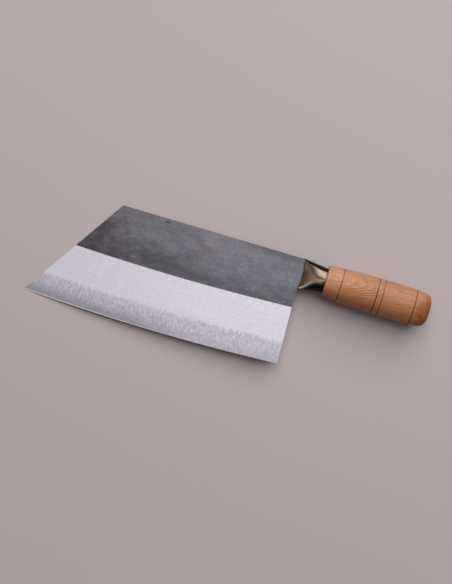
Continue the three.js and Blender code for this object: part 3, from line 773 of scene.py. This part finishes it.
def settle(piece, place):
    """Moves each vertex of a sheet of unit squares to where place puts its column and row."""
    bpy.ops.object.mode_set(mode="EDIT")
    bpy.ops.mesh.select_mode(type="VERT")
    bpy.ops.mesh.select_all(action="DESELECT")
    mesh = bmesh.from_edit_mesh(piece.data)
    for vertex in mesh.verts:
        goal = place(round(vertex.co.x), round(vertex.co.y))
        vertex.select_set(True)
        bpy.ops.transform.translate(value=goal - vertex.co)
        vertex.select_set(False)
    bpy.ops.object.mode_set(mode="OBJECT")


def stretch(size, place):
    """Gives the new primitive its size and moves it to its place."""
    bpy.ops.transform.resize(value=size, center_override=(0, 0, 0))
    bpy.ops.transform.translate(value=place)
    bpy.ops.object.transform_apply(location=True, rotation=True, scale=True)


def sheet(name, columns, rows):
    """A flat sheet with its vertices on whole numbers, ready to be settled."""
    add = bpy.ops.mesh.primitive_grid_add
    piece = begin(name, add, x_subdivisions=columns, y_subdivisions=rows, size=1, calc_uvs=False)
    stretch((columns, rows, 1), (columns / 2, rows / 2, 0))
    return piece


def modify(piece, kind, **settings):
    """Adds a modifier, sets it and applies it."""
    modifier = piece.modifiers.new(kind.title(), kind)
    for name, value in settings.items():
        setattr(modifier, name, value)
    bpy.ops.object.modifier_apply(modifier=modifier.name)


def tidy(piece, gap=MERGE):
    """Merges what lies together within a gap and points every face outwards."""
    bpy.ops.object.mode_set(mode="EDIT")
    bpy.ops.mesh.select_all(action="SELECT")
    bpy.ops.mesh.remove_doubles(threshold=gap)
    bpy.ops.mesh.normals_make_consistent(inside=False)
    bpy.ops.object.mode_set(mode="OBJECT")


def mirror(piece):
    """Adds the right side to a settled left side, and joins the two."""
    modify(piece, "MIRROR", use_axis=(False, False, True), use_clip=True, merge_threshold=MERGE)
    tidy(piece)


def lay(piece, axes):
    """Puts a piece that was modelled on its own axes where the frame has it."""
    piece.matrix_world = axes
    bpy.ops.object.transform_apply(location=True, rotation=True, scale=True)


def finish_piece(piece, material, node, smooth_angle):
    """Gives a piece its material, shades it smooth up to an angle and puts it in its node's place."""
    piece.data.materials.clear()
    piece.data.materials.append(material)
    bpy.ops.object.shade_smooth_by_angle(angle=math.radians(smooth_angle))
    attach(piece, BODY)
    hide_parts(node)


def turn(name, profile, steps):
    """A closed ring turned about the X axis from (place, radius) points."""
    piece = begin(name, bpy.ops.mesh.primitive_plane_add, size=MM, calc_uvs=False)
    bpy.ops.object.mode_set(mode="EDIT")
    bpy.ops.mesh.merge(type="CENTER")
    bpy.ops.transform.translate(value=(*profile[0], 0))
    for (x0, r0), (x1, r1) in zip(profile, profile[1:]):
        bpy.ops.mesh.extrude_vertices_move(TRANSFORM_OT_translate={"value": (x1 - x0, r1 - r0, 0)})
    ends = (Vector((*profile[0], 0)), Vector((*profile[-1], 0)))
    pick(piece, "verts", lambda v: min((v.co - end).length for end in ends) < TOUCH)
    bpy.ops.mesh.edge_face_add()
    bpy.ops.mesh.select_all(action="SELECT")
    bpy.ops.mesh.spin(steps=steps, angle=math.tau, center=(0, 0, 0), axis=(1, 0, 0))
    bpy.ops.object.mode_set(mode="OBJECT")
    tidy(piece)
    return piece


class KNIFE_OT_blade(bpy.types.Operator):
    """Forge the blade: its plate, its ground bevels, and the neck and tang behind it"""

    bl_idname = "knife.blade"
    bl_label = "Blade"

    COLUMNS = 44  # from the clipped front to the rear end
    ROUNDS = 12  # in which a vertex's places along and across the blade settle on each other
    EASING = ((0, 1), (0.13, 0.5), (0.5, 0.13))  # shares of the spine's rounding, down and inwards
    OVERLAP = MM  # how far the neck reaches into the plate
    TANG_EASE = 0.3 * MM
    LENGTHWISE = 0.5  # an edge whose direction has this much of the axis in it runs along the tang
    PEEN_SIDES = 40
    PEEN_DOME = 0.75  # share of the hammered end's height that is domed
    DOME_SEGMENTS = 5
    BUTTWARD = 0.99  # a face whose normal has this much of the axis in it looks to the butt
    PEEN_INSET = 0.9 * MM
    PEEN_FOOT = 0.3  # share of its height that the hammer doesn't reach
    HAMMER_MARK, HAMMER_SEED = 0.07 * MM, 5
    SLIVER = 0.05 * MM  # the unions leave slivers smaller than this

    def rows(self, blade, x):
        """The left face from the spine to the edge, as (y, half thickness) pairs."""
        ease = blade.spine_round
        top = blade.flat_half(x, 0)
        edge = blade.edge_y(x)
        grind, band, keen = blade.grind_y(x), edge + blade.band_height, edge + blade.keen_height
        band_half, keen_half = blade.band_half(x), blade.keen_thickness / 2
        grind_half = blade.flat_half(x, grind)
        middle = (grind + band) / 2
        return [
            (0, 0),
            *((-down * ease, top - inward * ease) for down, inward in self.EASING),
            (-ease, blade.flat_half(x, -ease)),
            (grind / 2, blade.flat_half(x, grind / 2)),
            (grind, grind_half),
            (middle, (grind_half + band_half) / 2),
            (band, band_half),
            ((band + keen) / 2, (band_half + keen_half) / 2),
            (keen, keen_half),
            (edge, 0),
        ]

    def plate(self, context):
        """The flat of the blade with its bevels, closed at the front and at the rear."""
        blade, bolster = context.scene.knife_blade, context.scene.knife_bolster
        mouth_bottom = bolster.mouth_bottom(blade)
        last = len(self.rows(blade, 0)) - 1

        def place(column, row):
            along = min(max(column - 1, 0), self.COLUMNS) / self.COLUMNS
            x = 0.0
            for _ in range(self.ROUNDS):
                y, half = self.rows(blade, x)[last - row]
                x = lerp(blade.clip_x(y), blade.rear_x(y, mouth_bottom), along)
            return Vector((x, y, half if 0 < column < self.COLUMNS + 2 else 0))

        piece = sheet("blade", self.COLUMNS + 2, last)
        settle(piece, place)
        mirror(piece)
        lay(piece, blade_axes())
        return piece

    def tang(self, context):
        """The neck in the bolster's mouth and the tang that narrows to the washer."""
        bolster, handle = context.scene.knife_bolster, context.scene.knife_handle
        stations = [
            (bolster.neck_length, bolster.neck_height, bolster.neck_thickness),
            (bolster.length, bolster.tang_height, bolster.tang_thickness),
            (handle.peen_seat + handle.peen_height / 2, bolster.tang_end_height, bolster.tang_thickness),
        ]
        here, high, thick = self.OVERLAP, bolster.neck_height, bolster.neck_thickness
        bar = begin("tang", bpy.ops.mesh.primitive_cube_add, size=1, calc_uvs=False)
        stretch((2 * here, high, thick), (0, 0, 0))
        bpy.ops.object.mode_set(mode="EDIT")
        for x, next_high, next_thick in stations:
            pick(bar, "faces", lambda face: face.calc_center_median().x > here - TOUCH)
            bpy.ops.mesh.extrude_region_move(TRANSFORM_OT_translate={"value": (x - here, 0, 0)})
            narrowing = (1, next_high / high, next_thick / thick)
            bpy.ops.transform.resize(value=narrowing, center_override=(x, 0, 0))
            here, high, thick = x, next_high, next_thick

        def runs_along(edge):
            return abs((edge.verts[0].co - edge.verts[1].co).normalized().x) > self.LENGTHWISE

        pick(bar, "edges", runs_along)
        bpy.ops.mesh.bevel(offset=self.TANG_EASE, segments=2, affect="EDGES")
        bpy.ops.object.mode_set(mode="OBJECT")
        tidy(bar)
        return bar

    def peen(self, context):
        """The tang's end, hammered into a dome over the washer."""
        handle = context.scene.knife_handle
        seat, high = handle.peen_seat, handle.peen_height
        dome = begin(
            "peen",
            bpy.ops.mesh.primitive_cylinder_add,
            vertices=self.PEEN_SIDES,
            radius=handle.peen_radius,
            depth=high,
            rotation=(0, math.pi / 2, 0),
            location=(seat + high / 2, 0, 0),
            calc_uvs=False,
        )
        bpy.ops.object.transform_apply(location=True, rotation=True, scale=True)
        bpy.ops.object.mode_set(mode="EDIT")
        pick(dome, "edges", lambda edge: all(v.co.x > seat + high - TOUCH for v in edge.verts))
        bpy.ops.mesh.bevel(
            offset=self.PEEN_DOME * high, segments=self.DOME_SEGMENTS, affect="EDGES", clamp_overlap=False
        )
        pick(dome, "faces", lambda face: face.normal.x > self.BUTTWARD)
        for _ in range(2):
            bpy.ops.mesh.inset(thickness=self.PEEN_INSET)
        pick(dome, "verts", lambda v: v.co.x > seat + self.PEEN_FOOT * high)
        bpy.ops.transform.vertex_random(offset=self.HAMMER_MARK, seed=self.HAMMER_SEED)
        bpy.ops.object.mode_set(mode="OBJECT")
        tidy(dome)
        return dome

    def execute(self, context):
        plate = self.plate(context)
        for part in (self.tang(context), self.peen(context)):
            lay(part, knife_axes())
            bpy.ops.object.select_all(action="DESELECT")
            context.view_layer.objects.active = plate
            plate.select_set(True)
            modify(plate, "BOOLEAN", operation="UNION", solver="EXACT", object=part)
            bpy.data.objects.remove(part)
        tidy(plate, self.SLIVER)
        steel = blade_finish(context.scene.knife_blade)
        finish_piece(plate, steel, "blade", smooth_angle=20)
        return {"FINISHED"}


class KNIFE_OT_bolster(bpy.types.Operator):
    """Draw the bolster sleeve from its flat mouth at the blade to its round end in the handle"""

    bl_idname = "knife.bolster"
    bl_label = "Bolster"

    AROUND = 56  # columns from the upper tip over the left side to the lower tip
    RINGS = 24  # from the mouth to the handle

    def execute(self, context):
        blade, bolster = context.scene.knife_blade, context.scene.knife_bolster
        mouth_bottom = bolster.mouth_bottom(blade)

        def rim(y):
            plan_y = y - blade.spine_above_axis
            return blade.rear_x(plan_y, mouth_bottom) - plan_y * math.sin(blade.droop) + bolster.clearance

        def place(column, row):
            along = min(row / self.RINGS, 1)
            high = bolster.half_height(along)
            up = math.cos(math.pi * column / self.AROUND)
            y = bolster.middle_y(along) + high * up
            x = lerp(rim(y), bolster.length, along) + (bolster.seat if row > self.RINGS else 0)
            tip = column in (0, self.AROUND)
            return Vector((x, y, 0 if tip else bolster.half_depth(along, high * abs(up))))

        piece = sheet("bolster", self.AROUND, self.RINGS + 1)
        settle(piece, place)
        mirror(piece)
        modify(piece, "SOLIDIFY", thickness=bolster.wall, offset=-1, use_even_offset=False)
        modify(piece, "SUBSURF", levels=1, render_levels=1)
        lay(piece, knife_axes())
        bronze = bronze_finish(bolster, blade)
        finish_piece(piece, bronze, "bolster", smooth_angle=40)
        return {"FINISHED"}


class KNIFE_OT_handle(bpy.types.Operator):
    """Turn the wooden handle with its grooves, socket, bore and butt recess"""

    bl_idname = "knife.handle"
    bl_label = "Handle"

    STEP = 1.6 * MM  # between two points of the barrel
    RIM_STEPS = 8
    GROOVE_STEPS = (-1.25, -1.0, -0.7, -0.35, 0.0, 0.35, 0.7, 1.0, 1.25)  # in halves of its width
    SIDES = 128

    def arc(self, x, radius, rounding, start, stop):
        """Points of a rounded rim about a centre, from one angle to another."""
        angles = [lerp(start, stop, i / self.RIM_STEPS) for i in range(self.RIM_STEPS + 1)]
        return [(x + rounding * math.cos(a), radius + rounding * math.sin(a)) for a in angles]

    def barrel(self, handle, start, stop):
        """The turned outside between the rounded rims, dipping at each groove."""
        count = round((stop - start) / self.STEP)
        plain = [lerp(start, stop, i / count) for i in range(count + 1)]
        clear = [x for x in plain if all(abs(x - g) > handle.groove_width for g in handle.grooves())]
        points = [(x, handle.radius_at(x)) for x in clear]
        for groove in handle.grooves():
            for off in self.GROOVE_STEPS:
                dip = handle.groove_depth * (0.5 + 0.5 * math.cos(math.pi * min(abs(off), 1)))
                x = groove + off * handle.groove_width / 2
                points.append((x, handle.radius_at(x) - dip))
        return sorted(points)

    def execute(self, context):
        handle = context.scene.knife_handle
        end = handle.end()
        front_rim, butt_rim = handle.front + handle.front_round, end - handle.butt_round
        front_centre = handle.radius_at(front_rim) - handle.front_round
        butt_centre = handle.radius_at(butt_rim) - handle.butt_round
        stop = math.asin(max(0, (handle.recess_radius - butt_centre) / handle.butt_round))
        socket, recess = handle.front + handle.socket_depth, end - handle.recess_depth
        profile = [
            (socket, handle.bore_radius),
            (socket, handle.socket_radius),
            (handle.front, handle.socket_radius),
            *self.arc(front_rim, front_centre, handle.front_round, math.pi, math.pi / 2)[:-1],
            *self.barrel(handle, front_rim, butt_rim),
            *self.arc(butt_rim, butt_centre, handle.butt_round, math.pi / 2, stop)[1:],
            (recess, handle.recess_radius),
            (recess, handle.bore_radius),
        ]
        piece = turn("handle", profile, self.SIDES)
        lay(piece, knife_axes())
        finish_piece(piece, wood_finish(handle), "handle", smooth_angle=35)
        return {"FINISHED"}


class KNIFE_OT_butt_washer(bpy.types.Operator):
    """Turn the washer that the tang is peened over"""

    bl_idname = "knife.butt_washer"
    bl_label = "Butt washer"

    CHAMFER = 0.2 * MM
    SIDES = 96

    def execute(self, context):
        handle = context.scene.knife_handle
        front, back = handle.washer_front, handle.washer_front + handle.washer_thickness
        inner, outer, cut = handle.washer_hole, handle.washer_radius, self.CHAMFER
        profile = [
            (front, inner),
            (front, outer - cut),
            (front + cut, outer),
            (back - cut, outer),
            (back, outer - cut),
            (back, inner + cut),
            (back - cut, inner),
        ]
        piece = turn("butt_washer", profile, self.SIDES)
        lay(piece, knife_axes())
        finish_piece(piece, washer_finish(handle), "butt_washer", smooth_angle=30)
        return {"FINISHED"}


class KNIFE_OT_fillings(bpy.types.Operator):
    """Give the pitch in the bolster and the resin around the tang their finishes"""

    bl_idname = "knife.fillings"
    bl_label = "Fillings"

    PITCH_GRAIN, RESIN_GRAIN = 0.3, 0.15  # clouds per millimetre

    def execute(self, context):
        handle = context.scene.knife_handle
        finishes = {
            "bolster_fill": filling_finish("pitch", handle.pitch, self.PITCH_GRAIN),
            "tang_bedding": filling_finish("bedding_resin", handle.resin, self.RESIN_GRAIN),
        }
        for name, material in finishes.items():
            node = frame["nodes"][name]
            if not node.material_slots:
                node.data.materials.append(material)
            for slot in node.material_slots:
                slot.material = material
        return {"FINISHED"}


class KNIFE_OT_stage(bpy.types.Operator):
    """Set up the floor, the light and the camera over the blade"""

    bl_idname = "knife.stage"
    bl_label = "Stage"

    FLOOR_SIZE = 12  # metres
    FLOOR_DROP = 0.05 * MM  # how far it stays clear of the knife
    FLOOR_ROUGHNESS = 0.8

    def floor(self, stage):
        place = (0, 0, -self.FLOOR_DROP)
        floor = begin("floor", bpy.ops.mesh.primitive_plane_add, size=self.FLOOR_SIZE, location=place)
        material = bpy.data.materials.new("plain_floor")
        material.use_nodes = True
        shader = material.node_tree.nodes["Principled BSDF"]
        shader.inputs["Base Color"].default_value = (*stage.floor, 1)
        shader.inputs["Roughness"].default_value = self.FLOOR_ROUGHNESS
        floor.data.materials.append(material)

    def lamp(self, name, size, watts, place, target):
        bpy.ops.object.light_add(type="AREA", location=place)
        lamp = bpy.context.active_object
        lamp.name = name
        lamp.data.shape = "SQUARE"
        lamp.data.size = size
        lamp.data.energy = watts
        lamp.rotation_euler = (Vector(target) - Vector(place)).to_track_quat("-Z", "Y").to_euler()
        lamp.visible_camera = False

    def camera(self, stage):
        knife = knife_axes().to_3x3()
        along, up, out = knife.col[0], knife.col[1], knife.col[2]
        right = along * math.cos(stage.tilt) + up * math.sin(stage.tilt)
        over = out.cross(right)
        pixel = stage.distance * SENSOR / stage.lens / PHOTO_HEIGHT
        aim = (
            knife_axes().translation
            + right * (CENTRE_PIXEL[0] - AXIS_PIXEL[0]) * pixel
            - over * (CENTRE_PIXEL[1] - AXIS_PIXEL[1]) * pixel
        )
        turned = Matrix((right, over, out)).transposed().to_4x4()
        place = Matrix.Translation(aim + out * stage.distance) @ turned
        bpy.ops.object.camera_add(location=place.translation, rotation=place.to_euler())
        camera = bpy.context.active_object
        camera.name = "photo_camera"
        camera.data.lens = stage.lens
        camera.data.sensor_width = SENSOR
        bpy.context.scene.camera = camera

    def execute(self, context):
        stage = context.scene.knife_stage
        self.floor(stage)
        overhead = tuple(stage.softbox_place)
        self.lamp("softbox", stage.softbox_size, stage.softbox_power, overhead, (*overhead[:2], 0))
        self.lamp("key", stage.key_size, stage.key_power, tuple(stage.key_place), (0, 0, 0))
        world = bpy.data.worlds.new("studio")
        world.use_nodes = True
        background = world.node_tree.nodes["Background"]
        background.inputs["Color"].default_value = (*stage.surround, 1)
        background.inputs["Strength"].default_value = stage.surround_strength
        context.scene.world = world
        context.scene.view_settings.view_transform = "Standard"
        self.camera(stage)
        return {"FINISHED"}


OPERATORS = (
    KNIFE_OT_blade,
    KNIFE_OT_bolster,
    KNIFE_OT_handle,
    KNIFE_OT_butt_washer,
    KNIFE_OT_fillings,
    KNIFE_OT_stage,
)
SETTINGS = {
    "knife_blade": BladeSettings,
    "knife_bolster": BolsterSettings,
    "knife_handle": HandleSettings,
    "knife_stage": StageSettings,
}


class KNIFE_PT_panel(bpy.types.Panel):
    """The knife's pieces and their sizes"""

    bl_idname = "KNIFE_PT_panel"
    bl_label = "Bunka knife"
    bl_space_type = "VIEW_3D"
    bl_region_type = "UI"
    bl_category = "Knife"

    def draw(self, context):
        for operator in OPERATORS:
            self.layout.operator(operator.bl_idname)
        for name, settings in SETTINGS.items():
            box = self.layout.box()
            for item in settings.__annotations__:
                box.prop(getattr(context.scene, name), item)


CLASSES = (*SETTINGS.values(), *OPERATORS, KNIFE_PT_panel)


def register():
    for cls in CLASSES:
        bpy.utils.register_class(cls)
    for name, settings in SETTINGS.items():
        setattr(bpy.types.Scene, name, PointerProperty(type=settings))


def unregister():
    for name in SETTINGS:
        delattr(bpy.types.Scene, name)
    for cls in reversed(CLASSES):
        bpy.utils.unregister_class(cls)


def main():
    register()
    bpy.ops.knife.blade()
    bpy.ops.knife.bolster()
    bpy.ops.knife.handle()
    bpy.ops.knife.butt_washer()
    bpy.ops.knife.fillings()
    bpy.ops.knife.stage()


if __name__ == "__main__":
    main()
